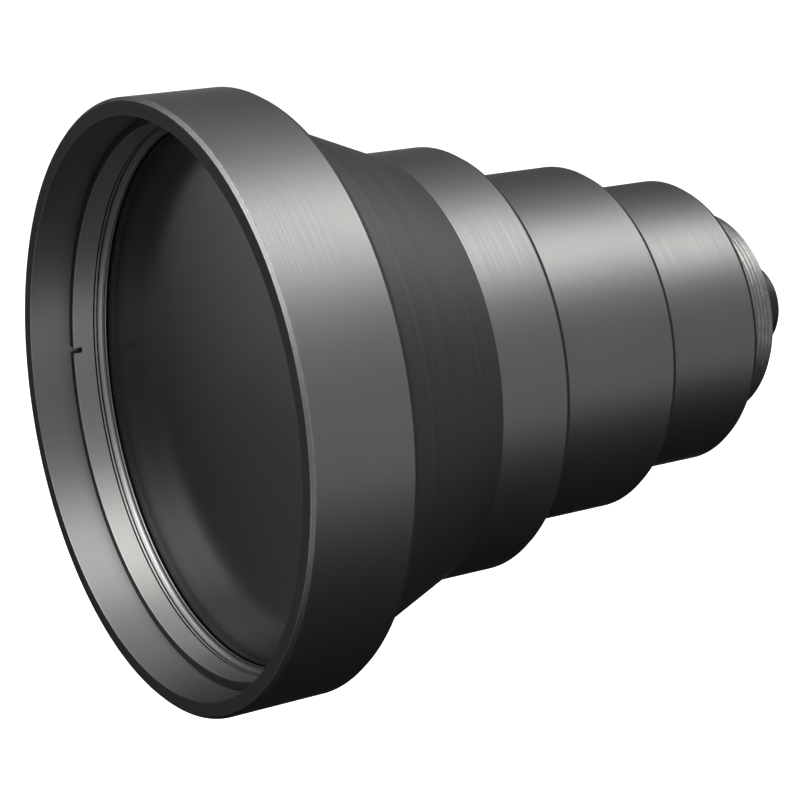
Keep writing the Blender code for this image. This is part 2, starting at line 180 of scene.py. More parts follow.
def wire(tree, kind, sources, **settings):
    """Adds a node, sets its properties, and links or sets its inputs by name or number."""
    node = tree.nodes.new(kind)
    for setting, value in settings.items():
        setattr(node, setting, value)
    for socket, source in sources.items():
        if isinstance(source, bpy.types.NodeSocket):
            tree.links.new(source, node.inputs[socket])
        else:
            node.inputs[socket].default_value = source
    return node


def ranged(tree, source, low, high, to_low, to_high):
    """Stretches a value's part from low to high over another range, and cuts off the rest."""
    ends = {0: source, 1: low, 2: high, 3: to_low, 4: to_high}
    return wire(tree, "ShaderNodeMapRange", ends).outputs[0]


def uneven(tree, pattern, lowest, highest):
    """Lets a value wander between two limits with a noise pattern."""
    noise_low, noise_high = 0.3, 0.7
    return ranged(tree, pattern, noise_low, noise_high, lowest, highest)


def product(tree, first, second):
    """Two values multiplied."""
    return wire(tree, "ShaderNodeMath", {0: first, 1: second}, operation="MULTIPLY").outputs[0]


def noise(tree, place, scale, detail, grit=0.5):
    """Noise between 0 and 1. grit is how much its finer detail counts."""
    values = {"Vector": place, "Scale": scale, "Detail": detail, "Roughness": grit}
    return wire(tree, "ShaderNodeTexNoise", values).outputs["Fac"]


def mixed(tree, factor, first, second):
    """Mixes two colours by a mask. Each is a colour, or the socket of one."""
    sources = {"Factor": factor}
    for socket, colour in (("A", first), ("B", second)):
        sources[socket] = colour if isinstance(colour, bpy.types.NodeSocket) else (*colour, 1)
    return wire(tree, "ShaderNodeMix", sources, data_type="RGBA").outputs["Result"]


def bumped(tree, height, depth):
    """The normal of a surface with relief of this depth on it."""
    return wire(tree, "ShaderNodeBump", {"Height": height, "Distance": depth}).outputs[0]


def place_in(tree):
    """Where a point lies on its object, in metres."""
    return wire(tree, "ShaderNodeTexCoord", {}).outputs["Object"]


def make_tool_marks():
    """Rings left round a turned surface by the tool, and the slow drift in tone of its finish."""
    group, given, made = new_group(
        "tool_marks", {"Marks per metre": 2500.0, "Drift per metre": 40.0}, ["Marks", "Drift"]
    )
    place = place_in(group)
    flat = wire(group, "ShaderNodeVectorMath", {0: place, 1: (1, 0, 1)}, operation="MULTIPLY")
    radius = wire(group, "ShaderNodeVectorMath", {0: flat.outputs[0]}, operation="LENGTH")
    along = wire(group, "ShaderNodeSeparateXYZ", {0: place})
    lathe = wire(
        group, "ShaderNodeCombineXYZ", {0: radius.outputs["Value"], 1: along.outputs["Y"], 2: 0.0}
    )
    rings = noise(group, lathe.outputs[0], given.outputs["Marks per metre"], detail=2.0)
    drift = noise(group, place, given.outputs["Drift per metre"], detail=5.0)
    group.links.new(rings, made.inputs["Marks"])
    group.links.new(drift, made.inputs["Drift"])
    return group


def make_edge_wear():
    """Where handling has thinned the finish along an edge: 1 is bare, 0 is as made."""
    patchy_from, patchy_to, least_worn = 0.42, 0.66, 0.25
    group, given, made = new_group(
        "edge_wear", {"Amount": 0.4, "Patches per metre": 700.0}, ["Worn"]
    )
    place = place_in(group)
    edge = wire(group, "ShaderNodeAttribute", {}, attribute_name="edge_nearness").outputs["Fac"]
    patches = noise(group, place, given.outputs["Patches per metre"], detail=4.0, grit=0.65)
    patchy = ranged(group, patches, patchy_from, patchy_to, least_worn, 1.0)
    worn = product(group, product(group, edge, patchy), given.outputs["Amount"])
    group.links.new(worn, made.inputs["Worn"])
    return group


def make_settled_dust():
    """Specks of dust that lie on what faces up: 1 is a speck, 0 is clean."""
    speck_edge, speck_core = 0.12, 0.05
    cells_left_clean = 0.72
    slope_that_holds_all = 0.7
    group, given, made = new_group(
        "settled_dust", {"Specks per metre": 900.0, "Amount": 0.5}, ["Dust"]
    )
    specks = wire(
        group,
        "ShaderNodeTexVoronoi",
        {"Vector": place_in(group), "Scale": given.outputs["Specks per metre"], "Randomness": 1.0},
    )
    dots = ranged(group, specks.outputs["Distance"], speck_edge, speck_core, 0.0, 1.0)
    chosen = wire(group, "ShaderNodeSeparateXYZ", {0: specks.outputs["Color"]})
    rare = wire(
        group,
        "ShaderNodeMath",
        {0: chosen.outputs["X"], 1: cells_left_clean},
        operation="GREATER_THAN",
    )
    facing = wire(group, "ShaderNodeNewGeometry", {}).outputs["Normal"]
    upward = wire(group, "ShaderNodeSeparateXYZ", {0: facing})
    lies = ranged(group, upward.outputs["Z"], 0.0, slope_that_holds_all, 0.0, 1.0)
    shown = product(group, product(group, dots, rare.outputs[0]), lies)
    group.links.new(product(group, shown, given.outputs["Amount"]), made.inputs["Dust"])
    return group


tool_marks = make_tool_marks()
edge_wear = make_edge_wear()
settled_dust = make_settled_dust()


def place_group(tree, group, **values):
    """Puts a shared effect into a material with that material's own values."""
    node = tree.nodes.new("ShaderNodeGroup")
    node.node_tree = group
    for socket, value in values.items():
        node.inputs[socket.replace("_", " ")].default_value = value
    return node


BARE_METAL = (0.34, 0.33, 0.32)
DUST_COLOUR = (0.30, 0.29, 0.27)
MARK_DEPTH = 0.004 * MM
SHEEN_SWING = 0.03
BORE_BRUSHING = 0.85
BORE_SLANT_TINT = 0.2
QUARTER_TURN = 0.25


def anodised(
    name,
    dark,
    light,
    roughness,
    wear=0.15,
    worn_colour=BARE_METAL,
    marks=2500.0,
    brushed=0.0,
    slant_tint=0.3,
):
    """Anodised aluminium: a dyed oxide skin over metal, drifting between two tones.

    brushed is how far the tool marks round the axis draw each highlight out along the axis.
    slant_tint holds back the shine at a slant. A darker finish needs more of it, or its shine
    drops to nothing there.
    """
    material, tree, shader = new_material(name)
    turning = place_group(tree, tool_marks, Marks_per_metre=marks)
    worn = place_group(tree, edge_wear, Amount=wear)
    dust = place_group(tree, settled_dust, Amount=0.3)
    tone = mixed(tree, turning.outputs["Drift"], dark, light)
    rubbed = mixed(tree, worn.outputs["Worn"], tone, worn_colour)
    dusty = mixed(tree, dust.outputs["Dust"], rubbed, DUST_COLOUR)
    marks_seen = turning.outputs["Marks"]
    matt = uneven(tree, marks_seen, roughness - SHEEN_SWING, roughness + SHEEN_SWING)
    relief = bumped(tree, marks_seen, MARK_DEPTH)
    tree.links.new(dusty, shader.inputs["Base Color"])
    tree.links.new(matt, shader.inputs["Roughness"])
    tree.links.new(relief, shader.inputs["Normal"])
    shader.inputs["Metallic"].default_value = 1.0
    shader.inputs["Specular Tint"].default_value = (slant_tint, slant_tint, slant_tint, 1)
    if brushed:
        round_axis = wire(tree, "ShaderNodeTangent", {}, direction_type="RADIAL", axis="Y")
        tree.links.new(round_axis.outputs["Tangent"], shader.inputs["Tangent"])
        shader.inputs["Anisotropic"].default_value = brushed
        shader.inputs["Anisotropic Rotation"].default_value = QUARTER_TURN
    return material


dark_anodised = anodised(
    "dark_anodised_aluminium",
    dark=(0.088, 0.088, 0.088),
    light=(0.106, 0.106, 0.105),
    roughness=0.46,
)
# The bore's finish: rings of the boring tool draw its highlights out along the axis, and its colour
# is painted about twice as light as the outside's, as painted light for the bright band in the
# hood's bore.
brushed_bore_painted_lighter = anodised(
    "brushed_bore_painted_lighter_aluminium",
    dark=(0.172, 0.172, 0.171),
    light=(0.202, 0.202, 0.201),
    roughness=0.5,
    brushed=BORE_BRUSHING,
    slant_tint=BORE_SLANT_TINT,
)
# The forward faces' finish: the same anodising painted darker, as painted shade, and a little
# smoother.
face_painted_darker = anodised(
    "face_painted_darker_aluminium",
    dark=(0.068, 0.068, 0.068),
    light=(0.082, 0.082, 0.081),
    roughness=0.42,
)

SEAT_WALL = 1.5 * MM
JOINT_DEPTH = 6.0 * MM
POCKET_STEP = 1.3 * MM
SEAT_LAND = 1.8 * MM


def stage_bore(thread_start, ring, glass, end):
    """Bore of one stage, front to rear: ring thread, lens pocket, seat, and next stage's thread."""
    ring_outer, _, ring_back = reach(ring)
    thread_bore = ring_outer + CLEARANCE
    pocket = thread_bore - POCKET_STEP
    seat_bore = reach(glass)[0] - SEAT_LAND
    floor = end - JOINT_DEPTH - CLEARANCE
    seat = floor - SEAT_WALL
    return [
        (thread_bore, thread_start),
        (thread_bore, ring_back + CLEARANCE),
        (pocket, ring_back + CLEARANCE),
        (pocket, seat),
        (seat_bore, seat),
        (seat_bore, floor),
        (thread_bore, floor),
        (thread_bore, end),
    ]


hood_radius, _, housing_end = reach("main_housing")
ring_radius, ring_start, ring_end = reach("front_retaining_ring")
_, pressure_start, pressure_end = reach("front_pressure_ring")
lens_radius, _, lens_back = reach("front_lens")
second_ring_radius, second_ring_start, _ = reach("second_retaining_ring")
_, seal_low, seal_high = reach("front_lens_seal")
hood_bore = ring_radius + CLEARANCE
lens_pocket = lens_radius + CLEARANCE
groove_bottom = lens_pocket + SEAL_GROOVE_DEPTH
groove_start = (seal_low + seal_high) / 2 - SEAL_GROOVE_WIDTH / 2
groove_end = (seal_low + seal_high) / 2 + SEAL_GROOVE_WIDTH / 2
front_seat = lens_back + CLEARANCE
front_seat_bore = lens_radius - LENS_SEAT_LAND
hood_end = front_seat + LENS_SEAT_WALL
cone_end = hood_end + CONE_LENGTH
cylinder_radius = reach("middle_barrel")[0] + CLEARANCE + THREADED_WALL
cone_bore_end = second_ring_start - CLEARANCE
cone_bore_length = cone_bore_end - hood_end
cone_bore_narrow = second_ring_radius + CLEARANCE

housing_outline = [
    (cylinder_radius - REAR_EDGE_DEPTH, housing_end),
    (cylinder_radius, housing_end - REAR_EDGE_LENGTH),
    (cylinder_radius, cone_end),
    (hood_radius - CONE_INSET, hood_end),
    (hood_radius - REAR_EDGE_DEPTH, hood_end),
    (hood_radius, hood_end - REAR_EDGE_LENGTH),
    (hood_radius, RIM_CHAMFER, EDGE_BREAK),
    (hood_radius - RIM_CHAMFER, 0, EDGE_BREAK),
    (hood_bore, 0, EDGE_BREAK),
    (hood_bore, pressure_end + CLEARANCE),
    (lens_pocket, pressure_end + CLEARANCE),
    (lens_pocket, groove_start),
    (groove_bottom, groove_start),
    (groove_bottom, groove_end),
    (lens_pocket, groove_end),
    (lens_pocket, front_seat),
    (front_seat_bore, front_seat),
    (front_seat_bore, hood_end),
]
for step in range(STRAY_LIGHT_STEPS):
    share = (step + 1) / STRAY_LIGHT_STEPS
    step_radius = front_seat_bore + (cone_bore_narrow - front_seat_bore) * share
    step_start = hood_end + cone_bore_length * step / STRAY_LIGHT_STEPS
    housing_outline.append((step_radius, step_start))
    if step < STRAY_LIGHT_STEPS - 1:
        housing_outline.append((step_radius, hood_end + cone_bore_length * share))
housing_outline += stage_bore(
    cone_bore_end, "second_retaining_ring", "second_lens", housing_end
)[1:]
# The bore takes the copy painted lighter and the forward faces the copy painted darker: painted
# light and shade.
housing_lit_and_shaded_copies = (brushed_bore_painted_lighter, face_painted_darker)
housing = turned("housing_shell", housing_outline)
fit(housing, "main_housing", dark_anodised, housing_lit_and_shaded_copies, pressure_end)


# Front retaining ring: a threaded aluminium ring that screws into the hood's bore behind the rim
# and clamps the front lens. A straight slot across its face takes a two-pin spanner.
SLOT_WIDTH = 1.2 * MM
SLOT_DEPTH = 1.9 * MM
SLOT_TURN = math.radians(-2.5)
RING_WIDTH = 2.0 * MM
ring_bore = hood_bore - RING_WIDTH


def ring_outline(outer, inner, start, end, edge=EDGE_BREAK):
    """Section of a plain ring with its four edges broken."""
    return [(outer, end, edge), (outer, start, edge), (inner, start, edge), (inner, end, edge)]


def cut_slot(piece, face, depth, outer):
    """Mills a straight slot right across a ring's face."""
    mill_length = 4 * outer
    shape = bmesh.new()
    bmesh.ops.create_cube(shape, size=1)
    bmesh.ops.scale(shape, vec=(mill_length, 2 * depth, SLOT_WIDTH), verts=shape.verts)
    mesh = bpy.data.meshes.new("slot_mill")
    shape.to_mesh(mesh)
    shape.free()
    mill = bpy.data.objects.new("slot_mill", mesh)
    mill.location = (0, rim_y + face, 0)
    mill.rotation_euler.y = SLOT_TURN
    bpy.context.scene.collection.objects.link(mill)
    cut = piece.modifiers.new("Slot", "BOOLEAN")
    cut.operation = "DIFFERENCE"
    cut.solver = "EXACT"
    cut.object = mill
    bpy.context.view_layer.update()
    graph = bpy.context.evaluated_depsgraph_get()
    milled = bpy.data.meshes.new_from_object(piece.evaluated_get(graph))
    piece.modifiers.clear()
    piece.data = milled
    milled.set_sharp_from_angle(angle=SHARP_ANGLE)
    bpy.data.objects.remove(mill)


# The rings' bores: brushed by the tool like the hood's bore, and painted lighter still, as painted
# light.
brushed_ring_painted_lighter = anodised(
    "brushed_ring_painted_lighter_aluminium",
    dark=(0.242, 0.241, 0.239),
    light=(0.282, 0.280, 0.278),
    roughness=0.5,
    worn_colour=(0.40, 0.39, 0.38),
    brushed=BORE_BRUSHING,
    slant_tint=BORE_SLANT_TINT,
)
# Ring bores take the copy painted lighter and forward faces the copy painted darker: painted light
# and shade.
ring_lit_and_shaded_copies = (brushed_ring_painted_lighter, face_painted_darker)
retaining_ring = turned("clamp_ring", ring_outline(ring_radius, ring_bore, ring_start, ring_end))
cut_slot(retaining_ring, ring_start, SLOT_DEPTH, ring_radius)
fit(retaining_ring, "front_retaining_ring", dark_anodised, ring_lit_and_shaded_copies, ring_end)


# Slip washer: a thin ring between the retaining ring and the pressure ring, so that the one can
# turn without dragging the other. It is stamped from sheet and anodised.
WASHER_EDGE = 0.05 * MM
washer_radius, washer_start, washer_end = reach("front_slip_washer")
washer_outline = ring_outline(washer_radius, ring_bore, washer_start, washer_end, WASHER_EDGE)
washer = turned("slip_washer", washer_outline)
# Its bore edge is painted lighter and its forward face darker, as painted light and shade.
fit(washer, "front_slip_washer", dark_anodised, ring_lit_and_shaded_copies, washer_end)


# Pressure ring: the anodised aluminium ring that bears on the front lens. Its bore ends in a cove,
# which takes the force in to the edge of the glass and shows as a soft bright line. Its bore is
# painted lighter and its forward faces darker, as painted light and shade.
COVE_RADIUS = 1.0 * MM
COVE_START = 0.2 * MM
COVE_POINTS = 12
pressure_outline = [
    (ring_radius, pressure_end),
    (ring_radius, pressure_start),
    (ring_bore, pressure_start),
]
for step in range(COVE_POINTS + 1):
    angle = math.pi / 2 * step / COVE_POINTS
    pressure_outline.append(
        (
            ring_bore - COVE_RADIUS + COVE_RADIUS * math.cos(angle),
            pressure_start + COVE_START + COVE_RADIUS * math.sin(angle),
        )
    )
pressure_outline.append((ring_bore - COVE_RADIUS, pressure_end))
pressure_ring = turned("pressure_ring", pressure_outline)
fit(
    pressure_ring,
    "front_pressure_ring",
    dark_anodised,
    ring_lit_and_shaded_copies,
    pressure_end,
)


# Front lens: a germanium meniscus, polished on both faces, with a hard carbon coating outside. The
# glass is opaque to the eye, so it reads as a dark mirror. It lies on the seat in the hood.
FRONT_CURVE = 240 * MM
BACK_CURVE = 600 * MM
EDGE_THICKNESS = 3.2 * MM
LENS_BEVEL = 0.25 * MM
FACE_RINGS = 28
COATING_ROUGHNESS = 0.2
COATING_HAZE = 0.02
COATING_SLANT_TINT = (0.2, 0.2, 0.2, 1)
DUST_ON_GLASS = (0.3, 0.3, 0.29)


def sag(curve, radius):
    """Depth of a spherical face at a distance from the axis."""
    return curve - math.sqrt(curve**2 - radius**2)


def face_points(edge_radius, edge_station, curve, side, rings):
    """A spherical face from its edge to the axis. Side -1 bulges forwards and 1 backwards."""
    points = []
    for ring in range(rings + 1):
        radius = edge_radius * (1 - ring / rings)
        height = sag(curve, edge_radius) - sag(curve, radius)
        points.append((radius, edge_station + side * height))
    return points


def lens(
    name,
    radius,
    bulge_edge,
    edge,
    bulge_curve,
    hollow_curve,
    land,
    side=-1,
    rings=FACE_RINGS,
    facets=TURNED_FACETS,
):
    """A meniscus that bulges towards side. Its hollow face starts inside a flat ground land."""
    land_station = bulge_edge - side * edge
    bulge = face_points(radius - LENS_BEVEL, bulge_edge, bulge_curve, side, rings)
    hollow = face_points(radius - land, land_station, hollow_curve, side, rings)
    outline = hollow[::-1]
    outline += [(radius, land_station), (radius, bulge_edge - side * LENS_BEVEL)]
    outline += bulge
    return turned(name, outline, facets, closed=False)


def coated_glass(name, deep, bright):
    """Coated germanium: a dark mirror whose coating shifts a little in tone over the face."""
    material, tree, shader = new_material(name)
    coating = place_group(tree, tool_marks, Marks_per_metre=300.0, Drift_per_metre=14.0)
    dust = place_group(tree, settled_dust, Specks_per_metre=500.0, Amount=0.15)
    tone = mixed(tree, coating.outputs["Drift"], deep, bright)
    dusty = mixed(tree, dust.outputs["Dust"], tone, DUST_ON_GLASS)
    haze = uneven(
        tree,
        coating.outputs["Drift"],
        COATING_ROUGHNESS - COATING_HAZE,
        COATING_ROUGHNESS + COATING_HAZE,
    )
    tree.links.new(dusty, shader.inputs["Base Color"])
    tree.links.new(haze, shader.inputs["Roughness"])
    shader.inputs["Metallic"].default_value = 1.0
    shader.inputs["Specular Tint"].default_value = COATING_SLANT_TINT
    return material


germanium = coated_glass(
    "coated_germanium", deep=(0.285, 0.297, 0.290), bright=(0.315, 0.327, 0.315)
)
front_lens = lens(
    "front_glass",
    lens_radius,
    lens_back - EDGE_THICKNESS,
    EDGE_THICKNESS,
    FRONT_CURVE,
    BACK_CURVE,
    LENS_SEAT_LAND + CLEARANCE,
)
fit(front_lens, "front_lens", germanium)


# Middle barrel: a turned and anodised tube. Its threaded flange, with an O-ring in a groove, screws
# into the rear of the housing, so only the plain tube behind it shows.
FLANGE_RECESS = 0.3 * MM
BARREL_CORD = 1.5 * MM


def flange(radius, start, end, cord):
    """Outside of a threaded flange from rear to front, with an O-ring groove half way along it."""
    middle = (start + end) / 2
    half = cord / 2 + CLEARANCE
    bottom = radius - cord - CLEARANCE
    return [
        (radius, end),
        (radius, middle + half),
        (bottom, middle + half),
        (bottom, middle - half),
        (radius, middle - half),
        (radius, start),
    ]


def barrel(name, node, behind, ring, glass, joint_end):
    """A barrel: its tube and rear edge, threaded flange, and the bore with its lens pocket."""
    flange_radius, start, end = reach(node)
    tube_radius = reach(behind)[0] + CLEARANCE + THREADED_WALL
    flange_end = joint_end - FLANGE_RECESS
    outline = [
        (tube_radius - REAR_EDGE_DEPTH, end),
        (tube_radius, end - REAR_EDGE_LENGTH),
        (tube_radius, flange_end),
    ]
    outline += flange(flange_radius, start, flange_end, BARREL_CORD)
    outline += stage_bore(start, ring, glass, end)
    return turned(name, outline)


middle_barrel = barrel(
    "middle_tube", "middle_barrel", "rear_barrel", "third_retaining_ring", "third_lens", housing_end
)
fit(middle_barrel, "middle_barrel", dark_anodised)


# Rear barrel: an anodised tube like the middle one, one size down. Its flange screws into the rear
# of the middle barrel, and it carries the fourth lens and the mount ring.
middle_end = reach("middle_barrel")[2]
rear_barrel = barrel(
    "rear_tube", "rear_barrel", "mount_ring", "fourth_retaining_ring", "fourth_lens", middle_end
)
fit(rear_barrel, "rear_barrel", dark_anodised)


# Mount ring: an anodised aluminium ring with the camera thread, M45 x 1, behind a shoulder and a
# relief groove. Its flange screws into the rear barrel, and its rear wall holds the rear cell.
THREAD_RADIUS = 22.5 * MM
THREAD_PITCH = 1.0 * MM
THREAD_DEPTH = 0.14 * MM
THREAD_ROOT_SINK = 0.05 * MM
THREAD_POINTS = 120
THREAD_FADE_POINTS = THREAD_POINTS / 3
CREST_SHARE = 0.50
ROOT_SHARE = 0.92
RELIEF_LENGTH = 2.0 * MM
RELIEF_DEPTH = 0.7 * MM
MOUNT_CHAMFER = 0.8 * MM
TUBE_WALL = 2.8 * MM
REAR_WALL = 4.3 * MM


def add_thread(piece, start, end):
    """Adds the ridge of an outside thread, which fades in and out over a third of a turn."""
    crest = THREAD_PITCH * CREST_SHARE
    root = THREAD_PITCH * ROOT_SHARE
    base = THREAD_RADIUS - THREAD_DEPTH
    count = int((end - start - root) / THREAD_PITCH * THREAD_POINTS)
    shape = bmesh.new()
    shape.from_mesh(piece.data)
    nearness = shape.verts.layers.float["edge_nearness"]
    previous = None
    for k in range(count + 1):
        angle = math.tau * k / THREAD_POINTS
        station = start + root / 2 + THREAD_PITCH * k / THREAD_POINTS
        top = base + THREAD_DEPTH * min(1, k / THREAD_FADE_POINTS, (count - k) / THREAD_FADE_POINTS)
        section = [
            (base - THREAD_ROOT_SINK, -root / 2, 0.0),
            (base, -root / 2, 0.0),
            (top, -crest / 2, 1.0),
            (top, crest / 2, 1.0),
            (base, root / 2, 0.0),
            (base - THREAD_ROOT_SINK, root / 2, 0.0),
        ]
        ring = []
        for radius, offset, edge in section:
            x, z = radius * math.cos(angle), radius * math.sin(angle)
            vert = shape.verts.new((x, rim_y + station + offset, z))
            vert[nearness] = edge
            ring.append(vert)
        if previous:
            for i in range(len(ring)):
                n = (i + 1) % len(ring)
                shape.faces.new([previous[i], previous[n], ring[n], ring[i]])
        else:
            shape.faces.new(ring)
        previous = ring
    shape.faces.new(previous[::-1])
    bmesh.ops.recalc_face_normals(shape, faces=shape.faces)
    shape.to_mesh(piece.data)
    shape.free()
    piece.data.shade_smooth()
    piece.data.set_sharp_from_angle(angle=SHARP_ANGLE)


mount_flange, mount_start, mount_end = reach("mount_ring")
flange_end = reach("rear_barrel")[2] - FLANGE_RECESS
relief_radius = THREAD_RADIUS - RELIEF_DEPTH
root_radius = THREAD_RADIUS - THREAD_DEPTH
hub_bore = reach("rear_cell_seal")[0] + CLEARANCE
thread_start = flange_end + RELIEF_LENGTH
mount_outline = [
    (THREAD_RADIUS - MOUNT_CHAMFER, mount_end, EDGE_BREAK),
    (root_radius, mount_end - MOUNT_CHAMFER + THREAD_DEPTH),
    (root_radius, thread_start),
    (relief_radius, thread_start),
    (relief_radius, flange_end),
]
mount_outline += flange(mount_flange, mount_start, flange_end, BARREL_CORD)
mount_outline += [
    (relief_radius - TUBE_WALL, mount_start),
    (relief_radius - TUBE_WALL, mount_end - REAR_WALL),
    (hub_bore, mount_end - REAR_WALL),
    (hub_bore, mount_end, EDGE_BREAK),
]
mount_anodised = anodised(
    "mount_anodised_aluminium",
    dark=(0.100, 0.100, 0.100),
    light=(0.116, 0.116, 0.115),
    roughness=0.46,
    wear=0.3,
)
mount_ring = turned("camera_mount", mount_outline)
add_thread(mount_ring, thread_start, mount_end - MOUNT_CHAMFER)
fit(mount_ring, "mount_ring", mount_anodised)


# Mount face seal: the O-ring that lies against the shoulder and seals the lens to the camera.
# It is moulded nitrile rubber, matt black, with the faint flash line of its mould.
CORD_POINTS = 32
SHOULDER_CORD = 1.8 * MM
FLASH = 0.03 * MM
RUBBER_TOOTH = 0.01 * MM
RUBBER_ROUGHNESS = (0.55, 0.75)
RUBBER_BLACK = (0.010, 0.010, 0.010)
RUBBER_BLOOM = (0.030, 0.030, 0.029)
DUST_ON_RUBBER = (0.16, 0.155, 0.15)


def black_rubber_material():
    """Matt black rubber with a fine tooth and a paler bloom."""
    material, tree, shader = new_material("black_rubber")
    tooth = place_group(tree, tool_marks, Marks_per_metre=6000.0, Drift_per_metre=220.0)
    dust = place_group(tree, settled_dust, Amount=0.4)
    bloom = mixed(tree, tooth.outputs["Drift"], RUBBER_BLACK, RUBBER_BLOOM)
    dusty = mixed(tree, dust.outputs["Dust"], bloom, DUST_ON_RUBBER)
    matt = uneven(tree, tooth.outputs["Drift"], *RUBBER_ROUGHNESS)
    relief = bumped(tree, tooth.outputs["Marks"], RUBBER_TOOTH)
    tree.links.new(dusty, shader.inputs["Base Color"])
    tree.links.new(matt, shader.inputs["Roughness"])
    tree.links.new(relief, shader.inputs["Normal"])
    return material


def o_ring(name, node, cord):
    """An O-ring with a small flash line round the inside and the outside of its cord."""
    outer, start, end = reach(node)
    outline = []
    for k in range(CORD_POINTS):
        angle = math.tau * k / CORD_POINTS
        swept = cord / 2 if k in (0, CORD_POINTS // 2) else cord / 2 - FLASH
        radius = outer - cord / 2 + swept * math.cos(angle)
        outline.append((radius, (start + end) / 2 + swept * math.sin(angle)))
    return turned(name, outline)


black_rubber = black_rubber_material()
face_seal = o_ring("shoulder_o_ring", "mount_face_seal", SHOULDER_CORD)
fit(face_seal, "mount_face_seal", black_rubber)


# Rear cell: a black anodised tube that is pushed out through the mount ring from inside, until its
# flange stops it. An O-ring seals its hub, and the field lens sits in its outer end.
CELL_WALL = 1.5 * MM
CELL_CHAMFER = 0.4 * MM
CELL_SEAT_LAND = 1.3 * MM
CELL_CORD = 1.0 * MM
FIELD_EDGE = 2.5 * MM
FIELD_BULGE_CURVE = 30 * MM

cell_flange, cell_start, cell_end = reach("rear_cell")
cell_hub = reach("rear_cell_seal")[0]
field_radius, _, field_end = reach("field_lens")
cell_pocket = field_radius + CLEARANCE
cell_radius = cell_pocket + CELL_WALL
hub_start = mount_end - REAR_WALL - CLEARANCE
hub_end = mount_end - FLANGE_RECESS
bulge_edge = field_end - sag(FIELD_BULGE_CURVE, field_radius)
cell_seat = bulge_edge - FIELD_EDGE - CLEARANCE
cell_outline = [
    (cell_radius - CELL_CHAMFER, cell_end, EDGE_BREAK),
    (cell_radius, cell_end - CELL_CHAMFER, EDGE_BREAK),
    (cell_radius, hub_end),
]
cell_outline += flange(cell_hub, hub_start, hub_end, CELL_CORD)
cell_outline += [
    (cell_flange, hub_start),
    (cell_flange, cell_start),
    (cell_pocket, cell_start),
    (cell_pocket, cell_seat - SEAT_WALL),
    (field_radius - CELL_SEAT_LAND, cell_seat - SEAT_WALL),
    (field_radius - CELL_SEAT_LAND, cell_seat),
    (cell_pocket, cell_seat),
    (cell_pocket, cell_end, EDGE_BREAK),
]
black_anodised = anodised(
    "black_anodised_aluminium",
    dark=(0.020, 0.020, 0.020),
    light=(0.030, 0.030, 0.029),
    roughness=0.5,
    wear=0.25,
    worn_colour=(0.16, 0.16, 0.155),
    marks=3500.0,
    slant_tint=0.4,
)
rear_cell = turned("rear_cell_tube", cell_outline)
fit(rear_cell, "rear_cell", black_anodised)


# Field lens: a small coated germanium meniscus that bulges backwards. It lies on the seat in the
# outer end of the rear cell.
FIELD_HOLLOW_CURVE = 60 * MM
FIELD_RINGS = 16
CELL_FACETS = 180
field_lens = lens(
    "field_glass",
    field_radius,
    bulge_edge,
    FIELD_EDGE,
    FIELD_BULGE_CURVE,
    FIELD_HOLLOW_CURVE,
    CELL_SEAT_LAND + CLEARANCE,
    side=1,
    rings=FIELD_RINGS,
    facets=CELL_FACETS,
)
fit(field_lens, "field_lens", germanium)


# Field retaining ring: a thin black anodised ring that screws into the end of the rear cell and
# holds the field lens. A slot is milled through it for a spanner.
FIELD_RING_WIDTH = 1.4 * MM
field_ring_radius, field_ring_start, field_ring_end = reach("field_retaining_ring")
field_ring_bore = field_ring_radius - FIELD_RING_WIDTH
field_ring = turned(
    "field_clamp_ring",
    ring_outline(field_ring_radius, field_ring_bore, field_ring_start, field_ring_end, WASHER_EDGE),
    CELL_FACETS,
)
cut_slot(field_ring, field_ring_end, (field_ring_end - field_ring_start) / 2, cell_radius)
fit(field_ring, "field_retaining_ring", black_anodised)


# Inner optics: the lenses, rings, stop, sleeves and seals that the barrels close in. Their CAD
# solids are right as they are, so each one only takes its finish.
ACETAL_MARK_DEPTH = 0.015 * MM
ACETAL_ROUGHNESS = (0.4, 0.55)
ACETAL_DEEP = (0.70, 0.69, 0.65)
ACETAL_PALE = (0.80, 0.79, 0.75)


def white_acetal_material():
    """Machined acetal: off-white, slightly waxy, with tool marks round it."""
    material, tree, shader = new_material("white_acetal")
    turning = place_group(tree, tool_marks, Marks_per_metre=2000.0, Drift_per_metre=60.0)
    tone = mixed(tree, turning.outputs["Drift"], ACETAL_DEEP, ACETAL_PALE)
    matt = uneven(tree, turning.outputs["Marks"], *ACETAL_ROUGHNESS)
    relief = bumped(tree, turning.outputs["Marks"], ACETAL_MARK_DEPTH)
    tree.links.new(tone, shader.inputs["Base Color"])
    tree.links.new(matt, shader.inputs["Roughness"])
    tree.links.new(relief, shader.inputs["Normal"])
    return material


white_acetal = white_acetal_material()
inner_finishes = {
    "second_lens": germanium,
    "third_lens": germanium,
    "fourth_lens": germanium,
    "second_retaining_ring": black_anodised,
    "third_retaining_ring": black_anodised,
    "fourth_retaining_ring": black_anodised,
    "aperture_stop": black_anodised,
    "stop_spacer": black_anodised,
    "athermal_spacer": white_acetal,
    "front_lens_seal": black_rubber,
    "middle_barrel_seal": black_rubber,
    "rear_barrel_seal": black_rubber,
    "mount_ring_seal": black_rubber,
    "rear_cell_seal": black_rubber,
}
for node, finish in inner_finishes.items():
    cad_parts[node].material_slots[0].material = finish


# Floor: a wide pale sheet well below the lens, which the photograph shows as plain white. It adds
# its own light only for what sees it directly or in a reflection, and keeps the lens's shadow.
FLOOR_DROP = 0.5
FLOOR_SIZE = 40.0
FLOOR_TONE = 0.86
FLOOR_GLOW = 0.62
MATT = 0.9
WHITE = (1, 1, 1, 1)


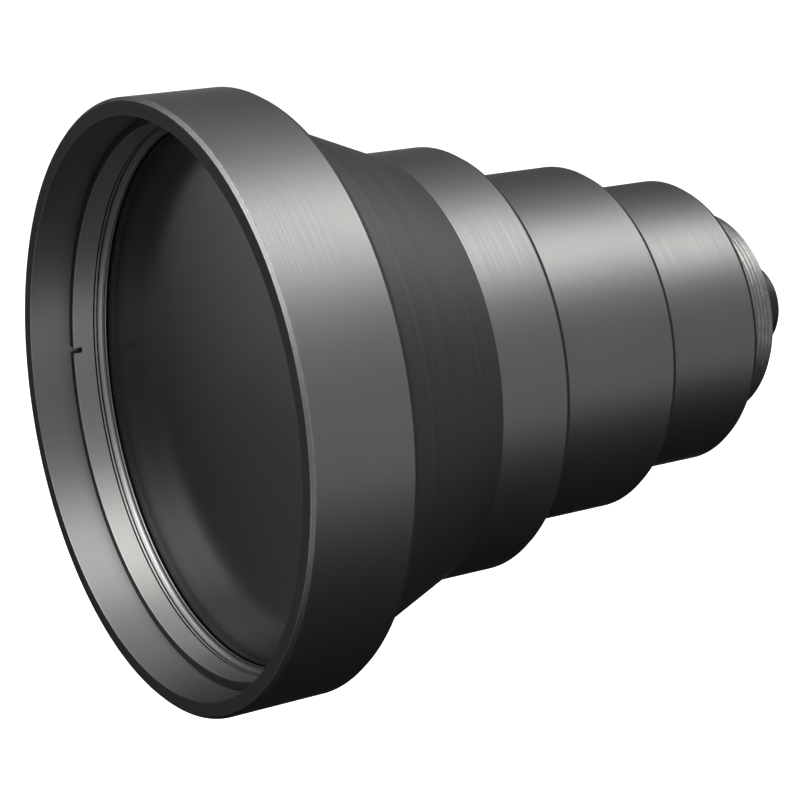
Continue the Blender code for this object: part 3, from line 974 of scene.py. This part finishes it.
def plain_sheet(name, size_x, size_y):
    """A flat sheet made of one face, centred on its own origin."""
    shape = bmesh.new()
    corners = [(-0.5, -0.5), (0.5, -0.5), (0.5, 0.5), (-0.5, 0.5)]
    shape.faces.new([shape.verts.new((x * size_x, y * size_y, 0)) for x, y in corners])
    mesh = bpy.data.meshes.new(name)
    shape.to_mesh(mesh)
    shape.free()
    sheet = bpy.data.objects.new(name, mesh)
    bpy.context.scene.collection.objects.link(sheet)
    return sheet


def seen_directly(tree):
    """1 for a ray from the camera, or by way of gloss or glass. 0 for one that gathers light."""
    ray = wire(tree, "ShaderNodeLightPath", {})
    seen = ray.outputs["Is Camera Ray"]
    for kind in ("Is Glossy Ray", "Is Transmission Ray"):
        sources = {0: seen, 1: ray.outputs[kind]}
        seen = wire(tree, "ShaderNodeMath", sources, operation="MAXIMUM").outputs[0]
    return seen


floor = plain_sheet("floor", FLOOR_SIZE, FLOOR_SIZE)
floor.location.z = -FLOOR_DROP
floor_paint, floor_tree, floor_shader = new_material("floor_paint")
floor_shader.inputs["Base Color"].default_value = (FLOOR_TONE, FLOOR_TONE, FLOOR_TONE, 1)
floor_shader.inputs["Roughness"].default_value = MATT
floor_shader.inputs["Specular IOR Level"].default_value = 0.0
floor_shader.inputs["Emission Color"].default_value = WHITE
glow = product(floor_tree, seen_directly(floor_tree), FLOOR_GLOW)
floor_tree.links.new(glow, floor_shader.inputs["Emission Strength"])
floor.data.materials.append(floor_paint)


# World: an even pale surround. It is white to what sees it directly or in a reflection, and
# plainer as a light on the lens.
WORLD_LIGHT = 0.55
world = bpy.data.worlds.new("surround")
bpy.context.scene.world = world
world.use_nodes = True
surround = world.node_tree.nodes["Background"]
surround.inputs["Color"].default_value = WHITE
strength = ranged(world.node_tree, seen_directly(world.node_tree), 0.0, 1.0, WORLD_LIGHT, 1.0)
world.node_tree.links.new(strength, surround.inputs["Strength"])


# Black cards: matt sheets below, behind and in front to the left, out of the camera's view. They
# give the lens its dark undersides, cone and rim. The lower and the front one turn paler towards
# one edge, for the soft change of tone under the barrels and across the glass.
def card_paint(name, tone, top_tone, fade_from=0.0, fade_to=1.0):
    """Matt card that fades from one grey to another between two heights on it."""
    paint, tree, shader = new_material(name)
    height = wire(tree, "ShaderNodeSeparateXYZ", {0: place_in(tree)}).outputs["Y"]
    fade = wire(
        tree,
        "ShaderNodeMapRange",
        {0: height, 1: fade_from, 2: fade_to, 3: tone, 4: top_tone},
        interpolation_type="SMOOTHSTEP",
    )
    tree.links.new(fade.outputs[0], shader.inputs["Base Color"])
    shader.inputs["Roughness"].default_value = MATT
    shader.inputs["Specular IOR Level"].default_value = 0.0
    return paint


black_card = card_paint("black_card", tone=0.04, top_tone=0.04)
lower_card = card_paint("lower_card", tone=0.012, top_tone=0.04, fade_from=-0.12, fade_to=0.08)
fading_card = card_paint("fading_card", tone=0.048, top_tone=0.125, fade_from=0.02, fade_to=0.42)
cards = bpy.data.collections.new("cards")


def card(name, paint, direction, distance, width, height):
    """A card that faces the lens from a direction. The softboxes shine through it to the floor."""
    sheet = plain_sheet(name, width, height)
    aim = Vector(direction).normalized()
    sheet.location = aim * distance
    sheet.rotation_euler = aim.to_track_quat("Z", "Y").to_euler()
    sheet.data.materials.append(paint)
    sheet.visible_camera = False
    cards.objects.link(sheet)
    cards.collection_objects[-1].light_linking.link_state = "EXCLUDE"


card("card_below", lower_card, (0.10, 0.10, -1.0), distance=0.26, width=0.9, height=0.9)
card("card_behind", black_card, (-0.18, 1.0, 0.0), distance=0.87, width=1.9, height=1.4)
card("card_in_front", fading_card, (-0.85, -0.50, -0.42), distance=0.8, width=1.3, height=1.1)


# Softboxes: the key lies above and behind, and gives the barrels their bright band. The front one
# lights the bore of the hood, directly and by way of the glass, and a small one to the left of it
# catches the chamfer of the rim.
KEY_COLOUR = (1.0, 0.983, 0.962)
FILL_COLOUR = (1.0, 0.985, 0.97)


def softbox(name, colour, direction, distance, size, radiance):
    """A square softbox that faces the lens from a direction."""
    data = bpy.data.lights.new(name, "AREA")
    data.shape = "SQUARE"
    data.size = size
    data.color = colour
    data.energy = radiance * math.pi * size**2
    lamp = bpy.data.objects.new(name, data)
    aim = Vector(direction).normalized()
    lamp.location = aim * distance
    lamp.rotation_euler = aim.to_track_quat("Z", "Y").to_euler()
    lamp.visible_camera = False
    lamp.light_linking.blocker_collection = cards
    bpy.context.scene.collection.objects.link(lamp)


softbox("key_softbox", KEY_COLOUR, (0.22, 0.50, 0.83), distance=2.2, size=1.18, radiance=12.3)
softbox("front_softbox", FILL_COLOUR, (0.07, -0.72, 0.69), distance=1.3, size=0.98, radiance=10.8)
softbox("side_softbox", FILL_COLOUR, (-0.58, -0.50, 0.64), distance=1.3, size=0.6, radiance=2.8)


# Camera: at the photograph's viewing angle, from in front, to the right and a little above. Its
# place and focal length were fitted to the ellipses of the round rims.
CAMERA_PLACE = (0.3974, -0.2716, 0.1375)
CAMERA_AZIMUTH = math.radians(57.52)
CAMERA_TILT = math.radians(17.04)
FOCAL_LENGTH = 108.7
SENSOR_WIDTH = 36
NEAREST_SEEN = 0.01
camera_data = bpy.data.cameras.new("camera")
camera_data.lens = FOCAL_LENGTH
camera_data.sensor_width = SENSOR_WIDTH
camera_data.clip_start = NEAREST_SEEN
camera = bpy.data.objects.new("camera", camera_data)
camera.location = CAMERA_PLACE
camera.rotation_euler = (math.pi / 2 - CAMERA_TILT, 0, CAMERA_AZIMUTH)
bpy.context.scene.collection.objects.link(camera)
bpy.context.scene.camera = camera
bpy.context.scene.view_settings.view_transform = "Standard"
